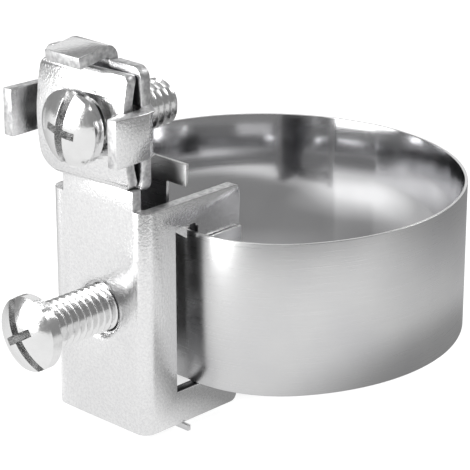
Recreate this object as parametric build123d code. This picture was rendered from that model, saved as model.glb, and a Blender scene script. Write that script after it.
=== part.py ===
from build123d import *
import math
import os

# Earthing pipe clamp, millimetres.
# The pipe stands upright on the Z axis. +X points from the clamp's body towards the pipe,
# and Z = 0 is the middle of the band's height.

# Stock and fits
sheet = 1.5                   # sheet of the folded body and of the wire clamp plate
bend_inside = 0.5             # inside radius of every fold in the body sheet
running_fit = 0.05            # radial, screw in its tapped hole
touch_gap = 0.05              # faces that press on each other
guide_gap = 0.3               # pieces that slide past each other

# Band
loop_radius = 25.3            # inside radius of the loop
band_thickness = 0.4
band_width = 19.5
band_lap_gap = 0.05           # between the two layers inside the channel
band_slot_run = 0.5           # it leaves each slot square to the wall, this far
band_lap_stop = 1.2           # the inner end stops this far from the far wall
band_fold_length = 6.8        # folded end, along the near wall
band_fold_trim = 1.2          # the folded end is narrower by this at its top edge
band_wall_gap = 0.1           # between the band and the sheet that it lies against

# Channel of the body
channel_width = 16.2          # over both walls
web_past_loop = 4.2           # outer face of the web, outside the loop's inside
wall_top = 13.8
wall_bottom = -14.7
top_arm_reach = 16.35         # from the web's outer face to the arms' upper corner
bottom_arm_reach = 15.7       # and to their lower corner
arm_corner = 1.0

# Slot for the band in each wall
slot_start = 5.4              # from the web's outer face
slot_band_gap = 0.55          # band to the slot's ends
slot_notch_width = 1.35       # small notch above the slot
slot_notch_height = 0.4
slot_notch_end = 0.4          # notch to the slot's edge on the pipe side
slot_lip_drop = 1.3           # the lip before the notch hangs into the slot by this

# Neck and terminal plate
neck_relief = 0.9             # the far edge of the neck stands inside the channel by this
ledge_height = 16.3           # top of the neck
step_overlap = 0.7            # the set-back plate starts this far below the ledge
terminal_top = 31.0
terminal_shift = 1.65         # middle of the terminal, from the channel's middle plane
terminal_screw_y = 0.15
terminal_screw_z = 23.5
terminal_width = 16.5
terminal_corner = 1.5
tab_middle = 23.25            # height of the guide tabs' middle
tab_height = 5.9
tab_reach = 4.0               # guide tabs, past the web's outer face
hook_width = 5.9
hook_reach = 3.0              # hook, past the web's outer face
hook_rise = 1.75              # top of the hook's bend, above the terminal plate
hook_slope = 9.0              # degrees, downwards to the front
collar_height = 1.6           # drawn collar of each tapped hole
collar_wall = 0.9
draw_radius = 1.3             # rounded mouth of each drawn hole

# Screws, M6 with plain shanks at the thread's outside
screw_radius = 2.95
screw_head_radius = 4.6
screw_head_rim = 1.6
screw_head_dome = 1.6
screw_chamfer = 0.7
tension_screw_length = 15.7
tension_screw_in = 6.05       # tip of the tension screw, from the web's outer face
terminal_screw_length = 14.0
tension_drive_angle = -31.0   # degrees, slot from upright, turned about +X
terminal_drive_angle = 9.0
drive_slot_width = 1.25
drive_slot_depth = 2.0        # deeper than the dome, so it nicks the rim
drive_cross_depth = 2.7
drive_cross_reach = 2.7
drive_cross_width = 1.2
drive_cross_taper = 12.0

# Pressure plate
pressure_plate_thickness = 0.5
pressure_plate_top = 18.6
pressure_plate_bottom = -15.8
pressure_head_width = 17.2
pressure_stem_width = 11.0
pressure_head_height = 2.7
pressure_foot_gap = 0.35      # foot below the walls
pressure_plate_bow = 0.5      # its ends stand towards the pipe by this
plate_to_band = 1.5           # free way of the pressure plate

# Wire clamp plate
clamp_plate_width = 13.7
clamp_plate_arch = 1.15
clamp_plate_corner = 1.0
clamp_plate_foot_corner = 2.6 # lower corner on the far side
clamp_plate_yaw = 5.0         # degrees, its far side stands off the terminal plate
clamp_plate_hole_radius = 3.7
clamp_plate_top_gap = 0.7     # below the terminal plate's top edge

# Places worked out from the sizes above
bend_outside = bend_inside + sheet
wall_face = channel_width / 2
wall_inner = wall_face - sheet
web_face = -loop_radius - web_past_loop
web_back = web_face + sheet
terminal_front = web_back
terminal_back = terminal_front + sheet
terminal_near = terminal_shift - terminal_width / 2
terminal_far = terminal_shift + terminal_width / 2
band_centre_radius = loop_radius + band_thickness / 2
band_top = band_width / 2
hole_radius = screw_radius + running_fit
tension_tip = web_face + tension_screw_in
plate_back = tension_tip + touch_gap
lap_x = plate_back + pressure_plate_thickness + plate_to_band + band_thickness / 2
fold_x = lap_x + band_thickness + band_lap_gap
slot_end = fold_x + band_thickness / 2 + band_wall_gap - web_face
plate_pivot_x = terminal_front - touch_gap
plate_crest_depth = sheet + clamp_plate_arch
plate_sine = math.sin(math.radians(clamp_plate_yaw))
plate_cosine = math.cos(math.radians(clamp_plate_yaw))
plate_pivot_y = terminal_near + guide_gap + plate_crest_depth * plate_sine


def block(x_range, y_range, z_range):
    """A solid box between two values on each axis."""
    size = [high - low for low, high in (x_range, y_range, z_range)]
    middle = [(low + high) / 2 for low, high in (x_range, y_range, z_range)]
    return Pos(*middle) * Box(*size)


def x_cylinder(radius, x_start, x_end, y, z):
    """A round bar along X."""
    return Pos((x_start + x_end) / 2, y, z) * Rot(0, 90, 0) * Cylinder(radius, x_end - x_start)


def wall_plate(outline, y_start, y_end):
    """An outline drawn in X and Z, made a plate from y_start to y_end."""
    return extrude(Plane.XZ.offset(-y_end) * outline, y_end - y_start)


def channel():
    """The U channel: a web and two walls, folded with small inside radii."""
    depth = max(top_arm_reach, bottom_arm_reach)
    outer = Pos(web_face + depth / 2, 0) * Rectangle(depth, channel_width)
    outer = fillet(outer.vertices().group_by(Axis.X)[0], bend_outside)
    hollow_depth = depth - sheet
    hollow = Pos(web_back + hollow_depth / 2, 0) * Rectangle(hollow_depth, 2 * wall_inner)
    hollow = fillet(hollow.vertices().group_by(Axis.X)[0], bend_inside)
    height = wall_top - wall_bottom
    return Pos(0, 0, wall_bottom) * extrude(outer - hollow, height)


def arm_outline():
    """The channel from the side: its arms are a little shorter at the bottom, with rounded corners."""
    outline = Polyline(
        (web_face, wall_bottom), (web_face + bottom_arm_reach, wall_bottom),
        (web_face + top_arm_reach, wall_top), (web_face, wall_top), close=True,
    )
    side = make_face(outline)
    ends = side.vertices().sort_by(Axis.X)[-2:]
    return wall_plate(fillet(ends, arm_corner), -channel_width, channel_width)


def band_slot():
    """The band slot through both walls: a lip hangs into its top, beside a small notch."""
    start = web_face + slot_start
    end = web_face + slot_end
    notch_end = end - slot_notch_end
    notch_start = notch_end - slot_notch_width
    high = band_top + slot_band_gap
    low = -high
    outline = Polyline(
        (start, low), (end, low), (end, high), (notch_end, high),
        (notch_end, high + slot_notch_height), (notch_start, high + slot_notch_height),
        (notch_start, high - slot_lip_drop), (start, high), close=True,
    )
    return wall_plate(make_face(outline), -channel_width, channel_width)


def guide_tab(side):
    """A tab folded forwards from the terminal plate's side edge. side is -1 near, +1 far."""
    edge = terminal_near if side < 0 else terminal_far
    face = edge + side * sheet
    root = edge - side * 2 * bend_outside
    front = web_face - tab_reach
    outline = Polyline(
        (terminal_front, root), (terminal_back, root), (terminal_back, face),
        (front, face), (front, edge), (terminal_front, edge), close=True,
    )
    tab = make_face(outline)
    tab = fillet(tab.vertices().sort_by_distance((terminal_back, face))[0], bend_outside)
    tab = fillet(tab.vertices().sort_by_distance((terminal_front, edge))[0], bend_inside)
    return Pos(0, 0, tab_middle - tab_height / 2) * extrude(tab, tab_height)


def top_hook():
    """The hook folded forwards over the wire clamp plate, drawn in X and Z."""
    middle_x = terminal_front + sheet / 2
    front = web_face - hook_reach
    bend = bend_inside + sheet / 2
    bend_x = middle_x - bend
    bend_z = terminal_top + hook_rise - bend - sheet / 2
    slope = math.radians(hook_slope)

    def height_at(x):
        return bend_z + (bend + (x - bend_x) * math.sin(slope)) / math.cos(slope)

    path = FilletPolyline(
        (middle_x, terminal_top - sheet), (middle_x, height_at(middle_x)), (front, height_at(front)),
        radius=bend,
    )
    outline = trace(path, sheet)
    return wall_plate(outline, terminal_shift - hook_width / 2, terminal_shift + hook_width / 2)


def drawn_collar(face, y, z):
    """The collar that the tapped hole is drawn into, behind a sheet whose front is at face."""
    return x_cylinder(hole_radius + collar_wall, face, face + sheet + collar_height, y, z)


def drawn_hole(face, y, z):
    """The tapped hole with its rounded mouth."""
    bore = x_cylinder(hole_radius, face - sheet, face + 3 * sheet, y, z)
    mouth = Pos(face, y, z) * Rot(0, 90, 0) * mouth_ring()
    return bore + mouth


def mouth_ring():
    """The rounded mouth as a solid of revolution about Z, from the face inwards."""
    outer = hole_radius + draw_radius
    profile = make_face([
        Line((0, -draw_radius), (outer, -draw_radius)),
        Line((outer, -draw_radius), (outer, 0)),
        RadiusArc((outer, 0), (hole_radius, draw_radius), draw_radius),
        Line((hole_radius, draw_radius), (0, draw_radius)),
        Line((0, draw_radius), (0, -draw_radius)),
    ])
    return revolve(Plane.XZ * profile, Axis.Z)


def clamp_body():
    body = (channel() & arm_outline()) - band_slot()
    neck_range = (-wall_inner, wall_inner - neck_relief)
    body += block((web_face, web_back), neck_range, (wall_top - sheet, ledge_height))
    plate_height = terminal_top - ledge_height + step_overlap
    plate = RectangleRounded(terminal_width, plate_height, terminal_corner)
    plate = Plane.YZ * Pos(terminal_shift, terminal_top - plate_height / 2) * plate
    body += Pos(terminal_front, 0, 0) * extrude(plate, sheet)
    body += guide_tab(-1) + guide_tab(1) + top_hook()
    body += drawn_collar(web_face, 0, 0)
    body += drawn_collar(terminal_front, terminal_screw_y, terminal_screw_z)
    body -= drawn_hole(web_face, 0, 0)
    body -= drawn_hole(terminal_front, terminal_screw_y, terminal_screw_z)
    return body


def shoulder(exit_x):
    """Radius, centre and end of the arc that leads from a slot into the loop's circle.

    The arc starts square to the wall and ends in line with the circle, on the far side.
    """
    exit_y = wall_face + band_slot_run
    free = band_centre_radius ** 2 - exit_x ** 2 - exit_y ** 2
    radius = free / (2 * (exit_x + band_centre_radius))
    centre = Vector(exit_x + radius, exit_y)
    end = centre * (band_centre_radius / centre.length)
    return radius, centre, end


def shoulder_arc(exit_x, side):
    """The shoulder on the far side (side 1) or the near side (side -1), as three points."""
    radius, centre, end = shoulder(exit_x)
    start = Vector(exit_x, wall_face + band_slot_run)
    towards = (start - centre).normalized() + (end - centre).normalized()
    middle = centre + towards.normalized() * radius
    return [(point.X, side * point.Y) for point in (start, middle, end)]


def band_path():
    """The whole centre line: folded end, first layer, loop and second layer."""
    fold_y = -wall_face - band_wall_gap - band_thickness / 2
    fold_bend = band_wall_gap + band_thickness
    fold_end = (fold_x + fold_bend + band_fold_length, fold_y)
    fold_start = (fold_x + fold_bend, fold_y)
    fold_top = (fold_x, fold_y + fold_bend)
    far = shoulder_arc(fold_x, 1)
    near = shoulder_arc(lap_x, -1)
    lap_end = (lap_x, wall_inner - band_lap_stop)
    return [
        Line(fold_end, fold_start),
        RadiusArc(fold_start, fold_top, fold_bend),
        Line(fold_top, far[0]),
        ThreePointArc(*far),
        ThreePointArc(far[2], (band_centre_radius, 0), near[2]),
        ThreePointArc(near[2], near[1], near[0]),
        Line(near[0], lap_end),
    ]


def tension_band():
    strip = trace(band_path(), band_thickness)
    band = Pos(0, 0, -band_top) * extrude(strip, band_width)
    trim_x = fold_x + band_thickness
    trim = block(
        (trim_x, trim_x + 2 * band_fold_length),
        (-wall_face - band_wall_gap - 2 * band_thickness, -wall_face),
        (band_top - band_fold_trim, band_top + band_fold_trim),
    )
    return band - trim


def drive_recess():
    """Slot and cross recess for a head whose dome is at Z = 0 and points to +Z."""
    slot_length = 3 * screw_head_radius
    slot = Pos(0, 0, -drive_slot_depth / 2) * Box(drive_slot_width, slot_length, drive_slot_depth)
    wing = Rectangle(2 * drive_cross_reach, drive_cross_width)
    cross = wing + Rot(0, 0, 90) * wing
    cross_cut = extrude(cross, -drive_cross_depth, taper=drive_cross_taper)
    return slot + cross_cut


def pan_screw(length, drive_angle):
    """A pan head screw along +X: underside of the head at X = 0, tip at X = length."""
    head_top = -screw_head_rim - screw_head_dome
    profile = make_face([
        Line((head_top, 0), (length, 0)),
        Line((length, 0), (length, screw_radius - screw_chamfer)),
        Line((length, screw_radius - screw_chamfer), (length - screw_chamfer, screw_radius)),
        Line((length - screw_chamfer, screw_radius), (0, screw_radius)),
        Line((0, screw_radius), (0, screw_head_radius)),
        Line((0, screw_head_radius), (-screw_head_rim, screw_head_radius)),
        RadiusArc((-screw_head_rim, screw_head_radius), (head_top, 0), -dome_radius()),
    ])
    screw = revolve(profile, Axis.X)
    recess = Pos(head_top, 0, 0) * Rot(drive_angle, 0, 0) * Rot(0, -90, 0) * Rot(0, 0, 90) * drive_recess()
    return screw - recess


def dome_radius():
    return (screw_head_radius ** 2 + screw_head_dome ** 2) / (2 * screw_head_dome)


def tension_screw():
    screw = pan_screw(tension_screw_length, tension_drive_angle)
    return Pos(tension_tip - tension_screw_length, 0, 0) * screw


def pressure_plate():
    """A bowed strip with a wide head above the walls and a wide foot below them."""
    middle = (pressure_plate_top + pressure_plate_bottom) / 2
    centre_x = plate_back + pressure_plate_thickness / 2
    bow = ThreePointArc(
        (centre_x + pressure_plate_bow, pressure_plate_bottom), (centre_x, middle),
        (centre_x + pressure_plate_bow, pressure_plate_top),
    )
    strip = wall_plate(
        trace(bow, pressure_plate_thickness), -pressure_head_width / 2, pressure_head_width / 2
    )
    height = pressure_plate_top - pressure_plate_bottom
    outline = Pos(0, middle) * Rectangle(pressure_stem_width, height + sheet)
    head_middle = pressure_plate_top - pressure_head_height / 2
    outline += Pos(0, head_middle) * Rectangle(pressure_head_width, pressure_head_height)
    foot_top = wall_bottom - pressure_foot_gap
    foot_height = foot_top - pressure_plate_bottom
    outline += Pos(0, foot_top - foot_height / 2) * Rectangle(pressure_head_width, foot_height)
    cutter = Pos(centre_x - sheet, 0, 0) * extrude(Plane.YZ * outline, 3 * sheet)
    return strip & cutter


def wire_clamp_plate():
    """The arched plate, loose on its screw. It touches the terminal plate along its near side only."""
    bottom = ledge_height + touch_gap
    top = terminal_top - clamp_plate_top_gap
    middle = (bottom + top) / 2
    near_y = plate_pivot_y
    far_y = plate_pivot_y + clamp_plate_width
    edge_x = plate_pivot_x - sheet / 2
    arch = ThreePointArc(
        (edge_x, bottom), (edge_x - clamp_plate_arch, middle), (edge_x, top)
    )
    curved = wall_plate(trace(arch, sheet), near_y, far_y)
    outline = Pos((near_y + far_y) / 2, middle) * Rectangle(clamp_plate_width, top - bottom)
    corners = [
        (near_y, bottom, clamp_plate_corner), (near_y, top, clamp_plate_corner),
        (far_y, top, clamp_plate_corner), (far_y, bottom, clamp_plate_foot_corner),
    ]
    for corner_y, corner_z, radius in corners:
        outline = fillet(outline.vertices().sort_by_distance((corner_y, corner_z))[0], radius)
    cutter = Pos(edge_x - 3 * sheet, 0, 0) * extrude(Plane.YZ * outline, 6 * sheet)
    pivot = Pos(plate_pivot_x, plate_pivot_y, 0)
    turned = pivot * Rot(0, 0, clamp_plate_yaw) * pivot.inverse() * (curved & cutter)
    hole = x_cylinder(
        clamp_plate_hole_radius, edge_x - 4 * sheet, edge_x + 3 * sheet, terminal_screw_y, terminal_screw_z
    )
    return turned - hole


def terminal_screw():
    """Its head meets the wire clamp plate where the plate stands out most."""
    head_edge = terminal_screw_y + screw_head_radius
    along = (head_edge - plate_pivot_y + plate_crest_depth * plate_sine) / plate_cosine
    seat = plate_pivot_x - plate_crest_depth * plate_cosine - along * plate_sine - touch_gap
    screw = pan_screw(terminal_screw_length, terminal_drive_angle)
    return Pos(seat, terminal_screw_y, terminal_screw_z) * screw


nodes = {
    "clamp_body": clamp_body(),
    "tension_band": tension_band(),
    "tension_screw": tension_screw(),
    "pressure_plate": pressure_plate(),
    "wire_clamp_plate": wire_clamp_plate(),
    "terminal_screw": terminal_screw(),
}
os.makedirs("parts", exist_ok=True)
for name, shape in nodes.items():
    box = shape.bounding_box()
    print(name, len(shape.solids()), round(shape.volume, 2), box.min, box.max)
    export_step(shape, f"parts/{name}.step")
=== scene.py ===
"""The looks of an earthing pipe clamp: folded body, strip band, threaded screws and their finishes."""

import logging
import math
from collections.abc import Callable, Iterator
from contextlib import contextmanager
from dataclasses import dataclass
from enum import Enum

import bmesh
import bpy
from mathutils import Matrix, Vector


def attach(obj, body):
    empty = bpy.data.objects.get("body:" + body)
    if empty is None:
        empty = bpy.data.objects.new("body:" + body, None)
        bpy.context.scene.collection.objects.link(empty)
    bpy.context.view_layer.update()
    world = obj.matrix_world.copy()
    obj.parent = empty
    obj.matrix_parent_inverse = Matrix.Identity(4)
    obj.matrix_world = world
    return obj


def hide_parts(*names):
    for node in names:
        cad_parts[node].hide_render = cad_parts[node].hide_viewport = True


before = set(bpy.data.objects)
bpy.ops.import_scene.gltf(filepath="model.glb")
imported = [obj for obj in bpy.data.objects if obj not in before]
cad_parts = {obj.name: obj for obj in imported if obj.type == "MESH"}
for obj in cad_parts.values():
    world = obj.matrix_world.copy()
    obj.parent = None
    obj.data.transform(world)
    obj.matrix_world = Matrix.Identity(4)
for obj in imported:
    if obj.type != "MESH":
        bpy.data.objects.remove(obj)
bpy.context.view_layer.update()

LOG = logging.getLogger("earthing_pipe_clamp")
MM = 0.001
FULL_TURN = 2 * math.pi
SLACK = 0.01
MERGE_WITHIN = 1e-6
CUT_THRESHOLD = 1e-7

Point = tuple[float, float, float]
Test = Callable[[Vector], bool]


class Boolean(Enum):
    """How one solid changes another."""

    CUT = "DIFFERENCE"
    JOIN = "UNION"
    KEEP = "INTERSECT"


# Mesh work in edit mode


def metres(point: Point) -> Vector:
    """A place or a step given in millimetres, in metres."""
    return Vector(point) * MM


def near(value: float, wanted: float, slack: float = SLACK) -> bool:
    """Whether a coordinate lies at a wanted place, all in millimetres."""
    return abs(value - wanted) <= slack


def make_active(piece: bpy.types.Object) -> None:
    """Deselect everything, then select one piece and make it active.

    Args:
        piece: the object to select.
    """
    bpy.ops.object.select_all(action="DESELECT")
    piece.select_set(True)
    bpy.context.view_layer.objects.active = piece


@contextmanager
def editing(piece: bpy.types.Object) -> Iterator[None]:
    """Edit mode on one piece, with nothing selected at the start.

    Args:
        piece: the object to edit.
    """
    make_active(piece)
    bpy.ops.object.mode_set(mode="EDIT")
    bpy.ops.mesh.select_mode(type="VERT")
    bpy.ops.mesh.select_all(action="DESELECT")
    yield
    bpy.ops.object.mode_set(mode="OBJECT")


def select_faces(piece: bpy.types.Object, test: Test) -> None:
    """Select the faces whose middle passes a test, and nothing else.

    Args:
        piece: the object in edit mode.
        test: takes a place in millimetres.
    """
    bpy.ops.mesh.select_mode(type="FACE")
    shape = bmesh.from_edit_mesh(piece.data)
    for face in shape.faces:
        face.select_set(test(face.calc_center_median() / MM))
    bmesh.update_edit_mesh(piece.data)


def select_edges(piece: bpy.types.Object, test: Test) -> None:
    """Select the edges whose two ends pass a test, and nothing else.

    Args:
        piece: the object in edit mode.
        test: takes a place in millimetres.
    """
    bpy.ops.mesh.select_mode(type="EDGE")
    shape = bmesh.from_edit_mesh(piece.data)
    for edge in shape.edges:
        edge.select_set(all(test(vertex.co / MM) for vertex in edge.verts))
    bmesh.update_edit_mesh(piece.data)


def select_points(piece: bpy.types.Object, test: Test) -> None:
    """Select the vertices that pass a test, and nothing else.

    Args:
        piece: the object in edit mode.
        test: takes a place in millimetres.
    """
    bpy.ops.mesh.select_mode(type="VERT")
    shape = bmesh.from_edit_mesh(piece.data)
    for vertex in shape.verts:
        vertex.select_set(test(vertex.co / MM))
    shape.select_flush(True)
    bmesh.update_edit_mesh(piece.data)


def extrude(step: Point) -> None:
    """Extrude what is selected by a step in millimetres."""
    bpy.ops.mesh.extrude_region_move(TRANSFORM_OT_translate={"value": metres(step)})


def bisect(piece: bpy.types.Object, place: Point, normal: Point, drop_outer: bool = False) -> None:
    """Cut the whole mesh along a plane, in edit mode.

    Args:
        piece: the object in edit mode; not used.
        place: a point of the plane, in millimetres.
        normal: the plane's normal.
        drop_outer: whether the side that the normal points to is deleted.
    """
    bpy.ops.mesh.select_all(action="SELECT")
    bpy.ops.mesh.bisect(
        plane_co=metres(place), plane_no=normal, clear_outer=drop_outer, threshold=CUT_THRESHOLD
    )
    bpy.ops.mesh.select_all(action="DESELECT")


def add_block(name: str, low: Point, high: Point) -> bpy.types.Object:
    """A box between two corners, with its place in its mesh.

    Args:
        name: the new object's name.
        low: lowest corner in millimetres.
        high: highest corner in millimetres.

    Returns:
        The new object.
    """
    low_corner, high_corner = metres(low), metres(high)
    bpy.ops.object.select_all(action="DESELECT")
    bpy.ops.mesh.primitive_cube_add(size=1, location=(low_corner + high_corner) / 2)
    block = bpy.context.active_object
    block.name = name
    block.scale = high_corner - low_corner
    bpy.ops.object.transform_apply(location=True, rotation=True, scale=True)
    return block


def add_rod(name: str, radius: float, start: Point, end: Point, sides: int = 64) -> bpy.types.Object:
    """A round bar between two points.

    Args:
        name: the new object's name.
        radius: in millimetres.
        start: middle of one end, in millimetres.
        end: middle of the other end, in millimetres.
        sides: number of sides.

    Returns:
        The new object.
    """
    along = metres(end) - metres(start)
    bpy.ops.object.select_all(action="DESELECT")
    bpy.ops.mesh.primitive_cylinder_add(
        vertices=sides, radius=radius * MM, depth=along.length, location=(metres(start) + metres(end)) / 2
    )
    rod = bpy.context.active_object
    rod.name = name
    rod.rotation_mode = "QUATERNION"
    rod.rotation_quaternion = along.to_track_quat("Z", "Y")
    bpy.ops.object.transform_apply(location=True, rotation=True, scale=True)
    return rod


def add_line(name: str, points: list[Point]) -> bpy.types.Object:
    """A chain of edges, drawn by extruding one vertex from point to point.

    Args:
        name: the new object's name.
        points: the chain's points in millimetres.

    Returns:
        The new object.
    """
    bpy.ops.object.select_all(action="DESELECT")
    bpy.ops.mesh.primitive_plane_add(size=MM, location=metres(points[0]))
    line = bpy.context.active_object
    line.name = name
    bpy.ops.object.transform_apply(location=True, rotation=True, scale=True)
    with editing(line):
        bpy.ops.mesh.select_all(action="SELECT")
        bpy.ops.mesh.merge(type="CENTER")
        for here, there in zip(points, points[1:]):
            extrude(tuple(Vector(there) - Vector(here)))
    return line


def add_turned(
    name: str, points: list[tuple[float, float]], centre: Point, sides: int = 64
) -> bpy.types.Object:
    """A solid turned about an axis along X.

    Args:
        name: the new object's name.
        points: place along X and radius of each point of the profile, in millimetres.
        centre: a point of the axis, in millimetres.
        sides: number of sides.

    Returns:
        The new object.
    """
    profile = [(centre[0] + along, centre[1], centre[2] + radius) for along, radius in points]
    turned = add_line(name, profile)
    with editing(turned):
        bpy.ops.mesh.select_all(action="SELECT")
        bpy.ops.mesh.spin(steps=sides, angle=FULL_TURN, center=metres(centre), axis=(1, 0, 0))
        close_seams()
    return turned


def close_seams() -> None:
    """Merge doubled vertices of the whole mesh and point its faces outwards."""
    bpy.ops.mesh.select_all(action="SELECT")
    bpy.ops.mesh.remove_doubles(threshold=MERGE_WITHIN)
    bpy.ops.mesh.normals_make_consistent(inside=False)


def face_outward(piece: bpy.types.Object, place: Point, outward: Point) -> None:
    """Turn an open surface over if its face nearest to a place points the wrong way.

    Args:
        piece: the object, in object mode.
        place: a place on the surface, in millimetres.
        outward: the direction that the face there should point to.
    """
    wanted = metres(place)
    nearest = min(piece.data.polygons, key=lambda face: (face.center - wanted).length)
    if nearest.normal.dot(Vector(outward)) < 0:
        piece.data.flip_normals()


def keep_edges_along(piece: bpy.types.Object, axis: int) -> None:
    """Keep only those edges of a selection that run along one axis.

    Args:
        piece: the object in edit mode.
        axis: 0 for X to 2 for Z.
    """
    shape = bmesh.from_edit_mesh(piece.data)
    for edge in shape.edges:
        along = edge.verts[0].co - edge.verts[1].co
        edge.select_set(edge.select and abs(along[axis]) > 0.9 * along.length)
    bmesh.update_edit_mesh(piece.data)


def keep_edges(piece: bpy.types.Object, test: Test) -> None:
    """Keep only those edges of a selection whose two ends pass a test.

    Args:
        piece: the object in edit mode.
        test: takes a place in millimetres.
    """
    shape = bmesh.from_edit_mesh(piece.data)
    for edge in shape.edges:
        edge.select_set(edge.select and all(test(vertex.co / MM) for vertex in edge.verts))
    bmesh.update_edit_mesh(piece.data)


def modify(piece: bpy.types.Object, kind: str, **settings: object) -> None:
    """Add a modifier with its settings and apply it.

    Args:
        piece: the object to change.
        kind: Blender's name of the modifier.
        settings: the modifier's properties.
    """
    make_active(piece)
    modifier = piece.modifiers.new(kind.title(), kind)
    for key, value in settings.items():
        setattr(modifier, key, value)
    bpy.ops.object.modifier_apply(modifier=modifier.name)


def combine(piece: bpy.types.Object, tool: bpy.types.Object, how: Boolean) -> None:
    """Cut, join or keep one solid by another, which is used up.

    Args:
        piece: the object to change.
        tool: the other solid.
        how: what it does to the first.
    """
    modify(piece, "BOOLEAN", object=tool, operation=how.value, solver="EXACT", material_mode="TRANSFER")
    bpy.data.objects.remove(tool, do_unlink=True)


def soften(piece: bpy.types.Object, width: float, segments: int = 2, angle: float = 40.0) -> None:
    """Round every sharp edge and shade the piece smooth between them.

    Args:
        piece: the object to change.
        width: width of the rounding in millimetres.
        segments: faces across the rounding.
        angle: edges sharper than this are rounded, in degrees.
    """
    modify(
        piece, "BEVEL", width=width * MM, segments=segments, limit_method="ANGLE",
        angle_limit=math.radians(angle), use_clamp_overlap=False, material=-1,
    )
    make_active(piece)
    bpy.ops.object.shade_smooth_by_angle(angle=math.radians(angle))


# Finishes, some of them painted shade


def remap(
    material: bpy.types.Material, value: bpy.types.NodeSocket, reach: tuple[float, float],
    values: tuple[float, float],
) -> bpy.types.NodeSocket:
    """An even change of one value into another between two limits.

    Args:
        material: the material that gets the node.
        value: the value that changes.
        reach: its two limits.
        values: the new values there.

    Returns:
        The new value.
    """
    change = material.node_tree.nodes.new("ShaderNodeMapRange")
    change.inputs["From Min"].default_value, change.inputs["From Max"].default_value = reach
    change.inputs["To Min"].default_value, change.inputs["To Max"].default_value = values
    material.node_tree.links.new(value, change.inputs["Value"])
    return change.outputs["Result"]


@dataclass(frozen=True)
class Metal:
    """A metal surface with grain, scratches and a slightly uneven tone.

    Scales are in millimetres, the size of one feature along X, Y and Z.
    """

    name: str
    colour: tuple[float, float, float]
    dark_colour: tuple[float, float, float]
    roughness: tuple[float, float]
    grain_size: Point
    grain_height: float
    pit_size: float = 0.5
    pit_height: float = 0.0
    cloud_size: float = 6.0
    cloud_reach: tuple[float, float] = (0.35, 0.75)
    grain_reach: tuple[float, float] = (0.3, 0.7)

    def noise(self, material: bpy.types.Material, size: Point, detail: float) -> bpy.types.Node:
        """A noise texture whose features have the given size.

        Args:
            material: the material that gets the nodes.
            size: feature size along each axis, in millimetres.
            detail: number of finer layers.

        Returns:
            The noise node.
        """
        nodes, links = material.node_tree.nodes, material.node_tree.links
        place = nodes.new("ShaderNodeTexCoord")
        mapping = nodes.new("ShaderNodeMapping")
        mapping.inputs["Scale"].default_value = [1 / (axis * MM) for axis in size]
        noise = nodes.new("ShaderNodeTexNoise")
        noise.inputs["Scale"].default_value = 1.0
        noise.inputs["Detail"].default_value = detail
        links.new(place.outputs["Object"], mapping.inputs["Vector"])
        links.new(mapping.outputs["Vector"], noise.inputs["Vector"])
        return noise

    def material(self) -> bpy.types.Material:
        """The finish as a material, made the first time it is asked for.

        Returns:
            The material.
        """
        material = bpy.data.materials.get(self.name)
        if material:
            return material
        material = bpy.data.materials.new(self.name)
        material.use_nodes = True
        nodes, links = material.node_tree.nodes, material.node_tree.links
        shader = nodes["Principled BSDF"]
        shader.inputs["Metallic"].default_value = 1.0
        cloud = self.noise(material, (self.cloud_size,) * 3, 3.0).outputs["Fac"]
        grain = self.noise(material, self.grain_size, 4.0).outputs["Fac"]

        tone = nodes.new("ShaderNodeMixRGB")
        tone.inputs["Color1"].default_value = (*self.colour, 1.0)
        tone.inputs["Color2"].default_value = (*self.dark_colour, 1.0)
        links.new(remap(material, cloud, self.cloud_reach, (0.0, 1.0)), tone.inputs["Fac"])
        links.new(tone.outputs["Color"], shader.inputs["Base Color"])
        links.new(remap(material, grain, self.grain_reach, self.roughness), shader.inputs["Roughness"])

        fine = nodes.new("ShaderNodeBump")
        fine.inputs["Distance"].default_value = self.grain_height * MM
        links.new(grain, fine.inputs["Height"])
        relief = fine
        if self.pit_height > 0:
            pits = self.noise(material, (self.pit_size,) * 3, 2.0)
            relief = nodes.new("ShaderNodeBump")
            relief.inputs["Distance"].default_value = self.pit_height * MM
            links.new(pits.outputs["Fac"], relief.inputs["Height"])
            links.new(fine.outputs["Normal"], relief.inputs["Normal"])
        links.new(relief.outputs["Normal"], shader.inputs["Normal"])
        return material


PLATED_SHEET = Metal(
    "plated_sheet", (0.92, 0.92, 0.92), (0.8, 0.8, 0.81), (0.15, 0.27), (0.2, 0.2, 0.3), 0.02,
    pit_size=0.4, pit_height=0.02, cloud_size=0.3,
)
# Painted shade: a dark sheet colour standing in for the shade inside the channel, on the slot walls and
# behind the wire plate.
PAINTED_SHADE_SHEET = Metal(
    "painted_shade_sheet", (0.22, 0.22, 0.23), (0.14, 0.14, 0.15), (0.3, 0.45), (0.12, 0.12, 0.3), 0.006,
)
SHEARED_EDGE = Metal(
    "sheared_edge", (0.85, 0.85, 0.85), (0.45, 0.45, 0.46), (0.28, 0.5), (0.3, 0.3, 0.12), 0.03,
    pit_size=0.25, pit_height=0.04, cloud_size=0.7,
)
BAND_OUTSIDE = Metal(
    "band_outside", (0.74, 0.74, 0.74), (0.68, 0.68, 0.69), (0.26, 0.36), (6.0, 6.0, 0.06), 0.002,
    cloud_size=9.0,
)
# Painted shade: a little darker than the outside, standing in for the shade inside the loop.
BAND_INSIDE = Metal(
    "band_inside", (0.7, 0.7, 0.71), (0.63, 0.63, 0.64), (0.08, 0.14), (6.0, 6.0, 0.08), 0.0006,
    cloud_size=9.0,
)
BAND_EDGE = Metal(
    "band_edge", (0.86, 0.86, 0.86), (0.7, 0.7, 0.7), (0.25, 0.4), (0.2, 0.2, 0.2), 0.01,
)
SCREW_PLATE = Metal(
    "screw_plate", (0.88, 0.88, 0.88), (0.8, 0.8, 0.8), (0.12, 0.22), (0.3, 0.3, 0.3), 0.004,
    pit_size=0.6, pit_height=0.01, cloud_size=3.0,
)
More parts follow.
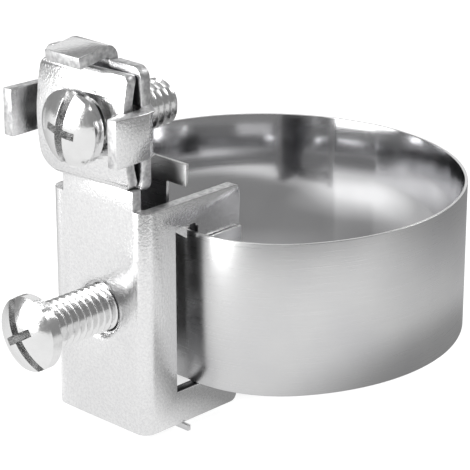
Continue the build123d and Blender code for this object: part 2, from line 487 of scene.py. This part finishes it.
# Painted shade: the drive's walls are darker than the head, standing in for the shade in the recess.
RECESS_PAINTED_SHADE = Metal(
    "recess_painted_shade", (0.8, 0.8, 0.8), (0.5, 0.5, 0.5), (0.2, 0.35), (0.25, 0.25, 0.25), 0.01,
    pit_size=0.4, pit_height=0.02, cloud_size=1.0,
)


def dress(piece: bpy.types.Object, *finishes: Metal) -> None:
    """Give a piece its materials in slot order, the faces' first; the last is the cut edges', or on some
    pieces a painted shade.
    """
    for finish in finishes:
        piece.data.materials.append(finish.material())


# Sub-assemblies


@dataclass
class FoldedBody:
    """The folded sheet: channel, neck, set-back terminal plate, guide tabs and hook."""

    sheet: float = 1.5
    web_face: float = -29.5
    half_width: float = 8.1
    top: float = 13.8
    bottom: float = -14.7
    bend_outside: float = 1.7
    bend_inside: float = 0.5
    bend_faces: int = 8
    arm_top_reach: float = 16.35
    arm_bottom_reach: float = 15.7
    arm_corner: float = 1.0
    slot_start: float = 5.4
    slot_end: float = 9.05
    slot_half_height: float = 10.3
    notch_end: float = 0.4
    notch_width: float = 1.35
    notch_height: float = 0.4
    lip_drop: float = 1.3
    neck_near: float = -6.6
    neck_far: float = 5.7
    ledge: float = 16.3
    plate_bottom: float = 15.6
    plate_top: float = 31.0
    plate_near: float = -6.6
    plate_far: float = 9.9
    plate_corner: float = 1.5
    screw_y: float = 0.15
    screw_z: float = 23.5
    tab_middle: float = 23.25
    tab_height: float = 5.9
    tab_reach: float = 4.0
    relief: float = 0.3
    hook_near: float = -1.3
    hook_far: float = 4.6
    hook_reach: float = 3.0
    hook_rise: float = 0.31
    hook_drop: float = 0.71
    tapped_radius: float = 2.98
    collar_radius: float = 3.9
    collar_height: float = 1.6
    collar_flare: tuple[tuple[float, float], ...] = ((-0.1, 0.5), (0.1, 0.2), (0.4, 0.0))
    collar_taper: float = 0.2
    bore_past: float = 1.0
    weld_overlap: float = 0.02
    mouth_radius: float = 1.3
    mouth_steps: int = 6
    edge_softness: float = 0.15

    def build(self) -> bpy.types.Object:
        """Build the whole body.

        Returns:
            The finished object.
        """
        body = self.channel()
        self.cut_slots(body)
        combine(body, self.terminal(), Boolean.JOIN)
        self.tap(body, self.web_face, (0.0, 0.0))
        self.tap(body, self.web_face + self.sheet, (self.screw_y, self.screw_z))
        soften(body, self.edge_softness)
        body.name = "folded_body"
        return body

    def channel(self) -> bpy.types.Object:
        """Fold the web and the two walls from one sheet, with the neck on top.

        Returns:
            The channel, with material slot 1 on its cut edges.
        """
        reach = self.arm_top_reach
        channel = add_block(
            "channel", (self.web_face, -self.half_width, self.bottom),
            (self.web_face + reach, self.half_width, self.top),
        )
        # The faces behind, material slot 2, get the painted shade sheet: a dark colour standing in for the
        # shade inside the channel.
        dress(channel, PLATED_SHEET, SHEARED_EDGE, PAINTED_SHADE_SHEET)
        with editing(channel):
            open_end = self.web_face + reach
            select_faces(channel, lambda p: near(p.x, open_end) or near(p.z, self.top)
                         or near(p.z, self.bottom))
            bpy.ops.mesh.delete(type="FACE")
            select_edges(channel, lambda p: near(p.x, self.web_face))
            keep_edges_along(channel, 2)
            bpy.ops.mesh.bevel(offset=self.bend_outside * MM, segments=self.bend_faces, profile=0.5)
            slant = (self.arm_top_reach - self.arm_bottom_reach) / (self.top - self.bottom)
            bisect(channel, (open_end, 0, self.top), (1.0, 0.0, -slant), drop_outer=True)
            bisect(channel, (0, self.neck_far, 0), (0, 1, 0))
            arm_end = self.web_face + self.arm_bottom_reach
            select_points(channel, lambda p: p.x > arm_end - 0.1)
            bpy.ops.mesh.bevel(offset=self.arm_corner * MM, segments=5, profile=0.5, affect="VERTICES")
            select_edges(
                channel,
                lambda p: near(p.z, self.top) and near(p.x, self.web_face)
                and self.neck_near - SLACK < p.y < self.neck_far + SLACK,
            )
            extrude((0, 0, self.ledge - self.top))
            bpy.ops.mesh.select_all(action="SELECT")
            bpy.ops.mesh.normals_make_consistent(inside=False)
        face_outward(channel, (self.web_face, 0, 0), (-1, 0, 0))
        self.thicken(channel, 2)
        return channel

    def thicken(self, piece: bpy.types.Object, back_slot: int) -> None:
        """Give an open surface the sheet's thickness behind its faces.

        Args:
            piece: the surface.
            back_slot: material slot of the faces behind, which in the channel holds the painted shade sheet.
        """
        modify(
            piece, "SOLIDIFY", thickness=self.sheet * MM, offset=-1.0, use_even_offset=True,
            use_quality_normals=True, use_rim=True, material_offset=back_slot, material_offset_rim=1,
        )

    def cut_slots(self, body: bpy.types.Object) -> None:
        """Cut the band's slot through both walls, with its lip and its notch."""
        reach = 2 * self.half_width
        start = self.web_face + self.slot_start
        end = self.web_face + self.slot_end
        notch_end = end - self.notch_end
        notch_start = notch_end - self.notch_width
        high = self.slot_half_height
        outline = [
            (start, -high), (end, -high), (end, high), (notch_end, high),
            (notch_end, high + self.notch_height), (notch_start, high + self.notch_height),
            (notch_start, high - self.lip_drop), (start, high),
        ]
        slot = add_line("slot", [(x, -reach, z) for x, z in outline])
        # The slot's walls get the painted shade sheet: a dark colour standing in for the shade in the slot.
        dress(slot, PAINTED_SHADE_SHEET)
        with editing(slot):
            bpy.ops.mesh.select_all(action="SELECT")
            bpy.ops.mesh.edge_face_add()
            bpy.ops.mesh.select_all(action="SELECT")
            extrude((0, 2 * reach, 0))
            close_seams()
        combine(body, slot, Boolean.CUT)

    def terminal(self) -> bpy.types.Object:
        """Fold the terminal plate with its two guide tabs and the hook.

        Returns:
            The terminal, with material slot 1 on its cut edges.
        """
        front = self.web_face + self.sheet - self.weld_overlap
        plate = add_block(
            "terminal", (front, self.plate_near, self.plate_bottom),
            (front + self.sheet, self.plate_far, self.plate_top),
        )
        dress(plate, PLATED_SHEET, SHEARED_EDGE)
        tab_low = self.tab_middle - self.tab_height / 2
        tab_high = self.tab_middle + self.tab_height / 2
        tab_front = self.web_face - self.tab_reach
        crown = self.plate_top + self.hook_rise
        with editing(plate):
            select_faces(plate, lambda p: not near(p.x, front))
            bpy.ops.mesh.delete(type="FACE")
            for height in (tab_low - self.relief, tab_low, tab_high, tab_high + self.relief):
                bisect(plate, (front, 0, height), (0, 0, 1))
            for side in (self.hook_near - self.relief, self.hook_near, self.hook_far,
                         self.hook_far + self.relief):
                bisect(plate, (front, side, 0), (0, 1, 0))
            select_points(plate, lambda p: (near(p.y, self.plate_near) or near(p.y, self.plate_far))
                          and (near(p.z, self.plate_top) or near(p.z, self.plate_bottom)))
            bpy.ops.mesh.bevel(offset=self.plate_corner * MM, segments=5, profile=0.5, affect="VERTICES")
            for edge_y in (self.plate_near, self.plate_far):
                select_edges(plate, lambda p, y=edge_y: near(p.y, y) and near(p.x, front)
                             and tab_low - SLACK < p.z < tab_high + SLACK)
                extrude((tab_front - front, 0, 0))
            select_edges(plate, lambda p: near(p.z, self.plate_top) and near(p.x, front)
                         and self.hook_near - SLACK < p.y < self.hook_far + SLACK)
            extrude((0, 0, self.hook_rise))
            extrude((self.web_face - self.hook_reach - front, 0, -self.hook_drop))
            for edge_y in (self.plate_near, self.plate_far):
                select_edges(plate, lambda p, y=edge_y: near(p.y, y) and near(p.x, front)
                             and tab_low - SLACK < p.z < tab_high + SLACK)
                bpy.ops.mesh.bevel(offset=self.bend_inside * MM, segments=self.bend_faces, profile=0.5)
            select_edges(plate, lambda p: near(p.z, crown) and near(p.x, front))
            bpy.ops.mesh.bevel(offset=self.bend_inside * MM, segments=self.bend_faces, profile=0.5)
            bpy.ops.mesh.select_all(action="SELECT")
            bpy.ops.mesh.normals_make_consistent(inside=False)
        face_outward(plate, (front, self.screw_y, self.screw_z), (-1, 0, 0))
        self.thicken(plate, 0)
        return plate

    def tap(self, body: bpy.types.Object, face: float, place: tuple[float, float]) -> None:
        """Draw a collar behind the sheet and cut its hole with a rounded mouth.

        Args:
            body: the body.
            face: place along X of the sheet's front.
            place: Y and Z of the hole's middle.
        """
        collar_end = self.sheet + self.collar_height
        outline = [(self.sheet + self.collar_flare[0][0], 0)]
        outline += [(self.sheet + along, self.collar_radius + wider) for along, wider in self.collar_flare]
        outline += [(collar_end, self.collar_radius - self.collar_taper), (collar_end, 0)]
        collar = add_turned("collar", outline, (face, *place))
        dress(collar, PLATED_SHEET)
        combine(body, collar, Boolean.JOIN)
        curve = self.mouth_radius
        bore = [(-self.bore_past, 0), (-self.bore_past, self.tapped_radius + curve)]
        for step in range(self.mouth_steps + 1):
            turn = math.pi / 2 * step / self.mouth_steps
            bore.append((curve * (1 - math.cos(turn)), self.tapped_radius + curve * (1 - math.sin(turn))))
        bore_end = collar_end + self.bore_past
        bore += [(bore_end, self.tapped_radius), (bore_end, 0)]
        cutter = add_turned("bore", bore, (face, *place))
        dress(cutter, PLATED_SHEET)
        combine(body, cutter, Boolean.CUT)


@dataclass
class StripBand:
    """The steel strip: folded end, layer through the channel, loop and inner end."""

    width: float = 19.5
    thickness: float = 0.4
    radius: float = 25.5
    lap_x: float = -21.2
    fold_x: float = -20.75
    wall: float = 8.1
    wall_gap: float = 0.1
    run: float = 0.5
    fold_bend: float = 0.5
    fold_length: float = 6.8
    fold_trim: float = 1.2
    trim_run: float = 0.6
    inner_end: float = 5.4
    flat_start: float = 20.0
    flat_end: float = 8.0
    fold_steps: int = 8
    loop_steps: int = 72
    shoulder_steps: int = 24
    edge_softness: float = 0.08

    def shoulder(self, exit_x: float) -> Vector:
        """Centre, on the far side, of the arc from a slot into the loop.

        Args:
            exit_x: where the band leaves the slot, along X.

        Returns:
            The centre in X and Y.
        """
        exit_y = self.wall + self.run
        free = self.radius ** 2 - exit_x ** 2 - exit_y ** 2
        radius = free / (2 * (exit_x + self.radius))
        return Vector((exit_x + radius, exit_y))

    def build(self) -> bpy.types.Object:
        """Draw the strip from its folded end to its inner end.

        Returns:
            The finished object.
        """
        fold_y = -self.wall - self.wall_gap - self.thickness / 2
        fold_start = self.fold_x + self.fold_bend
        low, high = -self.width / 2, self.width / 2
        start_x = fold_start + self.fold_length
        band = add_line("strip_band", [(start_x, fold_y, low), (start_x, fold_y, high)])
        dress(band, BAND_OUTSIDE, BAND_INSIDE, BAND_EDGE)
        far_centre = self.shoulder(self.fold_x)
        near_centre = self.shoulder(self.lap_x)
        near_centre.y = -near_centre.y
        far_turn = math.pi - math.atan2(far_centre.y, far_centre.x)
        near_turn = math.pi - math.atan2(-near_centre.y, near_centre.x)
        flat_start = math.radians(self.flat_start)
        flat_end = math.radians(self.flat_end)
        with editing(band):
            bpy.ops.mesh.select_all(action="SELECT")
            extrude((-self.fold_length, 0, 0))
            self.arc((fold_start, fold_y + self.fold_bend), math.pi / 2, self.fold_steps)
            extrude((0, self.trim_run, 0))
            trim_end = fold_y + self.fold_bend + self.trim_run
            extrude((0, self.fold_bend, 0))
            extrude((0, self.wall + self.run - trim_end - self.fold_bend, 0))
            self.arc(far_centre, far_turn, self.shoulder_steps)
            self.arc((0, 0), math.pi - far_turn - flat_start, self.loop_steps)
            self.arc((0, 0), flat_start - flat_end, 1)
            self.arc((0, 0), math.pi + flat_end - near_turn, self.loop_steps)
            self.arc(near_centre, near_turn, self.shoulder_steps)
            extrude((0, self.inner_end + self.wall + self.run, 0))
            close_seams()
            select_points(band, lambda p: fold_y - SLACK < p.y < trim_end + SLACK
                          and self.fold_x - SLACK < p.x < start_x + SLACK and near(p.z, high))
            bpy.ops.transform.translate(value=metres((0, 0, -self.fold_trim)))
        face_outward(band, (self.radius, 0, 0), (1, 0, 0))
        modify(
            band, "SOLIDIFY", thickness=self.thickness * MM, offset=0.0, use_even_offset=True,
            use_quality_normals=True, use_rim=True, material_offset=1, material_offset_rim=2,
        )
        soften(band, self.edge_softness, angle=50.0)
        return band

    @staticmethod
    def arc(centre: tuple[float, float], turn: float, steps: int) -> None:
        """Carry the strip's end round a centre in X and Y, turning about Z."""
        bpy.ops.mesh.spin(steps=steps, angle=turn, center=metres((*centre, 0)), axis=(0, 0, 1))


@dataclass
class PressurePlate:
    """The thin plate between the screw and the band, with its wide head and foot."""

    face_x: float = -23.4
    thickness: float = 0.5
    top: float = 18.6
    bottom: float = -15.8
    half_head: float = 8.6
    half_stem: float = 5.5
    head_bottom: float = 15.9
    foot_top: float = -15.05
    bow: float = 0.5
    steps: int = 16
    edge_softness: float = 0.06

    def build(self) -> bpy.types.Object:
        """Bow a strip and cut it to its outline.

        Returns:
            The finished object.
        """
        half = (self.top - self.bottom) / 2
        middle = (self.top + self.bottom) / 2
        radius = (half ** 2 + self.bow ** 2) / (2 * self.bow)
        sweep = 2 * math.asin(half / radius)
        centre = (self.face_x + self.thickness / 2 + radius, 0, middle)
        start_x = self.face_x + self.thickness / 2 + self.bow
        plate = add_line(
            "thrust_plate", [(start_x, -self.half_head, self.bottom), (start_x, self.half_head, self.bottom)]
        )
        dress(plate, BAND_OUTSIDE, BAND_EDGE)
        with editing(plate):
            bpy.ops.mesh.select_all(action="SELECT")
            bpy.ops.mesh.spin(steps=self.steps, angle=-sweep, center=metres(centre), axis=(0, 1, 0))
            for height in (self.head_bottom, self.foot_top):
                bisect(plate, (0, 0, height), (0, 0, 1))
            for side in (-self.half_stem, self.half_stem):
                bisect(plate, (0, side, 0), (0, 1, 0))
            select_faces(plate, lambda p: abs(p.y) > self.half_stem
                         and self.foot_top < p.z < self.head_bottom)
            bpy.ops.mesh.delete(type="FACE")
            close_seams()
        modify(
            plate, "SOLIDIFY", thickness=self.thickness * MM, offset=0.0, use_even_offset=True,
            use_rim=True, material_offset_rim=1,
        )
        soften(plate, self.edge_softness)
        return plate


@dataclass
class WirePlate:
    """The arched plate that presses the wire on the terminal, turned a little about its near edge."""

    back_x: float = -28.05
    thickness: float = 1.5
    near_y: float = -6.069
    width: float = 13.7
    bottom: float = 16.35
    top: float = 30.3
    arch: float = 1.15
    corner: float = 1.0
    foot_corner: float = 2.6
    yaw: float = 5.0
    hole_radius: float = 3.7
    hole_y: float = 0.15
    hole_z: float = 23.5
    steps: int = 28
    edge_softness: float = 0.18
    tool_reach: float = 10.0

    def build(self) -> bpy.types.Object:
        """Arch a strip, round its corners, turn it and cut its hole.

        Returns:
            The finished object.
        """
        half = (self.top - self.bottom) / 2
        middle = (self.top + self.bottom) / 2
        edge_x = self.back_x - self.thickness / 2
        radius = (half ** 2 + self.arch ** 2) / (2 * self.arch)
        sweep = 2 * math.asin(half / radius)
        centre = (edge_x - self.arch + radius, 0, middle)
        far_y = self.near_y + self.width
        plate = add_line("arched_plate", [(edge_x, self.near_y, self.bottom), (edge_x, far_y, self.bottom)])
        # The plate's back, material slot 2, gets the painted shade sheet: a dark colour standing in for the
        # shade behind the plate.
        dress(plate, PLATED_SHEET, SHEARED_EDGE, PAINTED_SHADE_SHEET)
        with editing(plate):
            bpy.ops.mesh.select_all(action="SELECT")
            bpy.ops.mesh.spin(steps=self.steps, angle=-sweep, center=metres(centre), axis=(0, 1, 0))
            close_seams()
        face_outward(plate, (edge_x - self.arch, self.near_y, middle), (-1, 0, 0))
        modify(
            plate, "SOLIDIFY", thickness=self.thickness * MM, offset=0.0, use_even_offset=True,
            use_rim=True, material_offset=2, material_offset_rim=1,
        )
        combine(plate, self.outline(far_y), Boolean.KEEP)
        make_active(plate)
        bpy.ops.transform.rotate(
            value=-math.radians(self.yaw), orient_axis="Z",
            center_override=metres((self.back_x, self.near_y, 0)),
        )
        bpy.ops.object.transform_apply(location=True, rotation=True, scale=True)
        hole = add_rod(
            "hole", self.hole_radius, (edge_x - self.tool_reach, self.hole_y, self.hole_z),
            (edge_x + self.tool_reach, self.hole_y, self.hole_z),
        )
        dress(hole, SHEARED_EDGE)
        combine(plate, hole, Boolean.CUT)
        soften(plate, self.edge_softness)
        return plate

    def outline(self, far_y: float) -> bpy.types.Object:
        """The plate's outline as a block with rounded corners, to keep of the arched strip.

        Args:
            far_y: place of the far edge along Y.

        Returns:
            The block.
        """
        outline = add_block(
            "outline", (self.back_x - self.tool_reach, self.near_y, self.bottom),
            (self.back_x + self.tool_reach, far_y, self.top),
        )
        dress(outline, SHEARED_EDGE)
        with editing(outline):
            select_edges(outline, lambda p: near(p.y, far_y) and near(p.z, self.bottom))
            bpy.ops.mesh.bevel(offset=self.foot_corner * MM, segments=10, profile=0.5)
            for edge_y, edge_z in ((self.near_y, self.bottom), (self.near_y, self.top), (far_y, self.top)):
                select_edges(outline, lambda p, y=edge_y, z=edge_z: near(p.y, y) and near(p.z, z))
                bpy.ops.mesh.bevel(offset=self.corner * MM, segments=6, profile=0.5)
        return outline


# One turn of the thread's profile: place along it and height over its root, both from 0 to 1.
THREAD_PROFILE = ((0.0, 0.0), (0.1, 0.0), (0.42, 1.0), (0.56, 1.0), (0.9, 0.0), (1.0, 0.0))


@dataclass
class PanScrew:
    """A pan head screw with a slot and a cross, and a real helical thread."""

    name: str
    head_x: float
    length: float
    axis_y: float
    axis_z: float
    drive_turn: float
    thread_radius: float = 2.95
    root_radius: float = 2.38
    pitch: float = 1.0
    head_radius: float = 4.6
    rim: float = 1.6
    dome: float = 1.6
    tip_chamfer: float = 0.7
    root_in_head: float = 0.613
    softness: float = 0.14
    slot_width: float = 1.25
    slot_depth: float = 2.0
    cross_reach: float = 2.7
    cross_width: float = 1.2
    cross_depth: float = 2.7
    cross_floor: tuple[float, float] = (0.4, 0.55)
    rim_round: float = 0.25
    head_sides: int = 96
    head_steps: int = 14
    sides: int = 72

    def build(self) -> bpy.types.Object:
        """Make the thread, the head and its drive, as one solid.

        Returns:
            The finished object.
        """
        screw = self.thread()
        combine(screw, self.head(), Boolean.JOIN)
        combine(screw, self.slot(), Boolean.CUT)
        for wing in range(2):
            combine(screw, self.cross_wing(wing), Boolean.CUT)
        combine(screw, self.tip_cup(), Boolean.CUT)
        with editing(screw):
            bpy.ops.mesh.select_mode(type="EDGE")
            bpy.ops.mesh.edges_select_sharp(sharpness=math.radians(30))
            keep_edges(screw, lambda p: p.x < self.head_x + SLACK)
            bpy.ops.mesh.bevel(offset=self.softness * MM, segments=3, profile=0.5, clamp_overlap=True)
        make_active(screw)
        bpy.ops.object.shade_smooth_by_angle(angle=math.radians(35))
        return screw

    def centre(self) -> Point:
        """Middle of the head's underside."""
        return (self.head_x, self.axis_y, self.axis_z)

    def thread(self) -> bpy.types.Object:
        """Wind one turn of the thread's profile along the shank.

        Returns:
            The threaded shank, a little too long at both ends.
        """
        height = self.thread_radius - self.root_radius
        shank = add_line(self.name, [
            (along * self.pitch, 0, self.root_radius + rise * height) for along, rise in THREAD_PROFILE
        ])
        dress(shank, SCREW_PLATE)
        turns = math.ceil(self.length / self.pitch) + 3
        modify(
            shank, "SCREW", axis="X", angle=FULL_TURN, screw_offset=self.pitch * MM, iterations=turns,
            steps=self.sides, render_steps=self.sides,
        )
        with editing(shank):
            bpy.ops.mesh.select_all(action="SELECT")
            bpy.ops.transform.translate(value=metres((-1.5 * self.pitch, 0, 0)))
            bpy.ops.mesh.remove_doubles(threshold=MERGE_WITHIN)
            for place, side in ((-self.root_in_head, -1), (self.length + 0.2, 1)):
                bisect(shank, (place, 0, 0), (side, 0, 0), drop_outer=True)
            bpy.ops.mesh.select_all(action="SELECT")
            bpy.ops.mesh.fill_holes(sides=0)
            bpy.ops.mesh.select_all(action="SELECT")
            bpy.ops.mesh.normals_make_consistent(inside=False)
            bpy.ops.transform.translate(value=metres(self.centre()))
        return shank

    def tip_cup(self) -> bpy.types.Object:
        """The cutter that leaves the tip flat, with a chamfer round it.

        Returns:
            The cutter.
        """
        outside = self.thread_radius + 0.4
        chamfer_start = self.length - self.tip_chamfer - 0.4
        cup = add_turned(
            "tip_cup",
            [(self.length, 0), (self.length, self.thread_radius - self.tip_chamfer),
             (chamfer_start, outside), (self.length + 1, outside), (self.length + 1, 0)],
            self.centre(), sides=71,
        )
        dress(cup, SCREW_PLATE)
        return cup

    def head(self) -> bpy.types.Object:
        """Turn the head: flat underside, short rim and dome.

        Returns:
            The head.
        """
        ball = (self.head_radius ** 2 + self.dome ** 2) / (2 * self.dome)
        profile = [(0.0, 0.0), (0.0, self.head_radius - self.rim_round), (-self.rim_round, self.head_radius)]
        edge = math.asin(self.head_radius / ball)
        for step in range(self.head_steps + 1):
            turn = edge * (1 - step / self.head_steps)
            profile.append((-self.rim - self.dome + ball * (1 - math.cos(turn)), ball * math.sin(turn)))
        head = add_turned("head", profile, self.centre(), sides=self.head_sides)
        dress(head, SCREW_PLATE)
        return head

    def turned(self, tool: bpy.types.Object) -> bpy.types.Object:
        """Turn a tool about the screw's axis to the drive's angle.

        Args:
            tool: the cutter.

        Returns:
            The same cutter.
        """
        turn = Matrix.Rotation(math.radians(self.drive_turn), 4, "X")
        place = Matrix.Translation(metres(self.centre()))
        tool.data.transform(place @ turn)
        # The cut walls get the recess's painted shade.
        dress(tool, RECESS_PAINTED_SHADE)
        return tool

    def slot(self) -> bpy.types.Object:
        """The slot's cutter, right across the head.

        Returns:
            The cutter.
        """
        top = -self.rim - self.dome
        half = self.slot_width / 2
        reach = 2 * self.head_radius
        return self.turned(add_block("slot", (top - 1, -half, -reach), (top + self.slot_depth, half, reach)))

    def cross_wing(self, wing: int) -> bpy.types.Object:
        """One wing of the cross, narrower at its bottom.

        Args:
            wing: 0 for the wing along the slot, 1 for the wing across it.

        Returns:
            The cutter.
        """
        top = -self.rim - self.dome
        half = self.cross_width / 2
        reach = self.cross_reach
        cutter = add_block("wing", (top - 1, -half, -reach), (top + self.cross_depth, half, reach))
        with editing(cutter):
            select_faces(cutter, lambda p: p.x > top + self.cross_depth - SLACK)
            bpy.ops.transform.resize(value=(1, *self.cross_floor), center_override=metres((top, 0, 0)))
        if wing:
            cutter.data.transform(Matrix.Rotation(math.pi / 2, 4, "X"))
        return self.turned(cutter)


# Studio


@dataclass(frozen=True)
class Lamp:
    """A soft rectangular lamp that faces a point, all in millimetres and watts."""

    name: str
    place: Point
    target: Point
    size: tuple[float, float]
    power: float

    def hang(self) -> None:
        """Put the lamp into the scene."""
        light = bpy.data.lights.new(self.name, "AREA")
        light.shape = "RECTANGLE"
        light.size, light.size_y = (side * MM for side in self.size)
        light.energy = self.power
        lamp = bpy.data.objects.new(self.name, light)
        bpy.context.scene.collection.objects.link(lamp)
        lamp.location = metres(self.place)
        lamp.rotation_mode = "QUATERNION"
        lamp.rotation_quaternion = (metres(self.target) - metres(self.place)).to_track_quat("-Z", "Y")


LAMPS = (
    Lamp("key", (-460, 180, 190), (-15, 0, 0), (380, 440), 2.6),
    Lamp("edge", (400, -210, 390), (-20, 0, 0), (200, 200), 0.5),
    Lamp("top", (-60, 60, 600), (0, 0, 0), (360, 360), 0.7),
    Lamp("back", (330, 330, 210), (-20, 0, 10), (600, 260), 0.3),
)


@dataclass
class Studio:
    """The floor, the lamps, the surroundings and the camera."""

    floor_z: float = -16.0
    floor_size: float = 3000.0
    share_seen: float = 0.5
    glow_seen: float = 1.75
    contact_centre: Point = (-2.0, 6.0, 0.0)
    contact_reach: tuple[float, float] = (3.0, 17.0)
    # Painted reflection of the floor, seen by glossy rays only: a glow graded along glow_slope, a painted
    # shade round shade_centre and a painted pool of light round pool_centre.
    glow_near: float = 0.95
    glow_far: float = 0.3
    glow_reach: tuple[float, float] = (-50.0, 95.0)
    glow_slope: Point = (1.0, 0.4, 0.0)
    shade_level: float = 0.3
    shade_centre: Point = (8.0, -13.0, 0.0)
    shade_reach: tuple[float, float] = (22.0, 33.0)
    pool_level: float = 0.6
    pool_centre: Point = (-14.0, 20.0, 0.0)
    pool_reach: tuple[float, float] = (7.0, 22.0)
    sky: float = 0.28
    lens: float = 172.55
    camera_place: Point = (-198.743, -185.481, 103.65)
    camera_azimuth: float = -46.151
    camera_elevation: float = 20.618

    def build(self) -> None:
        """Set up everything that isn't the clamp."""
        self.floor()
        self.surroundings()
        for lamp in LAMPS:
            lamp.hang()
        self.camera()
        bpy.context.scene.view_settings.view_transform = "Standard"

    def floor(self) -> None:
        """A wide pale floor that glows a little, but not under the loop, where the shadow is left; to glossy
        rays it shows only a painted reflection.
        """
        bpy.ops.object.select_all(action="DESELECT")
        bpy.ops.mesh.primitive_plane_add(size=self.floor_size * MM, location=metres((0, 0, self.floor_z)))
        floor = bpy.context.active_object
        floor.name = "floor"
        material = bpy.data.materials.new("floor_white")
        material.use_nodes = True
        nodes, links = material.node_tree.nodes, material.node_tree.links
        shader = nodes["Principled BSDF"]
        shader.inputs["Base Color"].default_value = (0.9, 0.9, 0.9, 1)
        shader.inputs["Roughness"].default_value = 0.9
        glow = nodes.new("ShaderNodeEmission")
        mix = nodes.new("ShaderNodeMixShader")
        rays = nodes.new("ShaderNodeLightPath")
        contact = self.fade(material, self.contact_centre, self.contact_reach, (0.0, self.share_seen))
        # Glossy rays see only emission: the painted reflection, with no real shading of the floor.
        share = nodes.new("ShaderNodeMix")
        links.new(rays.outputs["Is Camera Ray"], share.inputs["Factor"])
        links.new(rays.outputs["Is Glossy Ray"], share.inputs["A"])
        links.new(contact, share.inputs["B"])
        strength = nodes.new("ShaderNodeMix")
        strength.inputs["B"].default_value = self.glow_seen
        links.new(rays.outputs["Is Camera Ray"], strength.inputs["Factor"])
        links.new(self.painted_reflection(material), strength.inputs["A"])
        links.new(strength.outputs["Result"], glow.inputs["Strength"])
        links.new(share.outputs["Result"], mix.inputs["Fac"])
        links.new(shader.outputs["BSDF"], mix.inputs[1])
        links.new(glow.outputs["Emission"], mix.inputs[2])
        links.new(mix.outputs["Shader"], nodes["Material Output"].inputs["Surface"])
        floor.data.materials.append(material)

    def painted_reflection(self, material: bpy.types.Material) -> bpy.types.NodeSocket:
        """The painted reflection: how bright the floor glows to glossy rays, brighter on the key's side,
        with a painted shade inside the loop and a painted pool of light.

        Args:
            material: the floor's material, which gets the nodes.

        Returns:
            The brightness.
        """
        nodes, links = material.node_tree.nodes, material.node_tree.links
        place = nodes.new("ShaderNodeTexCoord")
        along = nodes.new("ShaderNodeVectorMath")
        along.operation = "DOT_PRODUCT"
        along.inputs[1].default_value = self.glow_slope
        links.new(place.outputs["Object"], along.inputs[0])
        reach = tuple(limit * MM for limit in self.glow_reach)
        graded = remap(material, along.outputs["Value"], reach, (self.glow_near, self.glow_far))
        shade = self.fade(material, self.shade_centre, self.shade_reach, (0.0, 1.0))
        shaded = nodes.new("ShaderNodeMix")
        shaded.inputs["A"].default_value = self.shade_level
        links.new(shade, shaded.inputs["Factor"])
        links.new(graded, shaded.inputs["B"])
        pooled = nodes.new("ShaderNodeMath")
        pooled.operation = "ADD"
        links.new(shaded.outputs["Result"], pooled.inputs[0])
        pool = self.fade(material, self.pool_centre, self.pool_reach, (self.pool_level, 0.0))
        links.new(pool, pooled.inputs[1])
        return pooled.outputs["Value"]

    def fade(
        self, material: bpy.types.Material, centre: Point, reach: tuple[float, float],
        values: tuple[float, float],
    ) -> bpy.types.NodeSocket:
        """A value that changes with the distance from a point of the floor.

        Args:
            material: the material that gets the nodes.
            centre: the point, in millimetres.
            reach: distances between which the value changes, in millimetres.
            values: the values at these distances.

        Returns:
            The value.
        """
        nodes, links = material.node_tree.nodes, material.node_tree.links
        place = nodes.new("ShaderNodeTexCoord")
        away = nodes.new("ShaderNodeVectorMath")
        away.operation = "DISTANCE"
        away.inputs[1].default_value = metres(centre)
        links.new(place.outputs["Object"], away.inputs[0])
        return remap(material, away.outputs["Value"], tuple(limit * MM for limit in reach), values)

    def surroundings(self) -> None:
        """White to the camera, grey to everything else."""
        world = bpy.data.worlds.new("studio")
        bpy.context.scene.world = world
        world.use_nodes = True
        nodes, links = world.node_tree.nodes, world.node_tree.links
        soft = nodes["Background"]
        soft.inputs["Color"].default_value = (self.sky, self.sky, self.sky, 1)
        white = nodes.new("ShaderNodeBackground")
        white.inputs["Color"].default_value = (1, 1, 1, 1)
        rays = nodes.new("ShaderNodeLightPath")
        mix = nodes.new("ShaderNodeMixShader")
        links.new(rays.outputs["Is Camera Ray"], mix.inputs["Fac"])
        links.new(soft.outputs["Background"], mix.inputs[1])
        links.new(white.outputs["Background"], mix.inputs[2])
        links.new(mix.outputs["Shader"], nodes["World Output"].inputs["Surface"])

    def camera(self) -> None:
        """The camera at the viewing angle of the catalogue picture."""
        lens = bpy.data.cameras.new("camera")
        lens.lens = self.lens
        lens.sensor_width = 36.0
        lens.clip_start = 0.01
        camera = bpy.data.objects.new("camera", lens)
        bpy.context.scene.collection.objects.link(camera)
        turn, rise = math.radians(self.camera_azimuth), math.radians(self.camera_elevation)
        back = Vector((
            math.sin(turn) * math.cos(rise), -math.cos(turn) * math.cos(rise), math.sin(rise)
        ))
        camera.location = metres(self.camera_place)
        camera.rotation_mode = "QUATERNION"
        camera.rotation_quaternion = (-back).to_track_quat("-Z", "Y")
        bpy.context.scene.camera = camera


def place_piece(piece: bpy.types.Object, body: str, node: str) -> None:
    """Tell the frame what a finished piece rides on and stands for.

    Args:
        piece: the finished object.
        body: the moving body that it belongs to.
        node: the node that it stands for.
    """
    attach(piece, body)
    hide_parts(node)
    LOG.info("%s: %d faces", piece.name, len(piece.data.polygons))


def main() -> None:
    """Build the studio and every piece of the clamp."""
    logging.basicConfig(level=logging.INFO, format="%(name)s %(message)s")
    Studio().build()
    place_piece(FoldedBody().build(), "clamp", "clamp_body")
    place_piece(StripBand().build(), "clamp", "tension_band")
    place_piece(PressurePlate().build(), "pressure_plate", "pressure_plate")
    place_piece(WirePlate().build(), "wire_clamp_plate", "wire_clamp_plate")
    tension = PanScrew(
        "tension_pan_screw", head_x=-39.14, length=15.65, axis_y=0.0, axis_z=0.0, drive_turn=-31.0
    )
    terminal = PanScrew(
        "terminal_pan_screw", head_x=-31.71, length=13.95, axis_y=0.15, axis_z=23.5, drive_turn=9.0
    )
    place_piece(tension.build(), "tension_screw", "tension_screw")
    place_piece(terminal.build(), "terminal_screw", "terminal_screw")


if __name__ == "__main__":
    main()
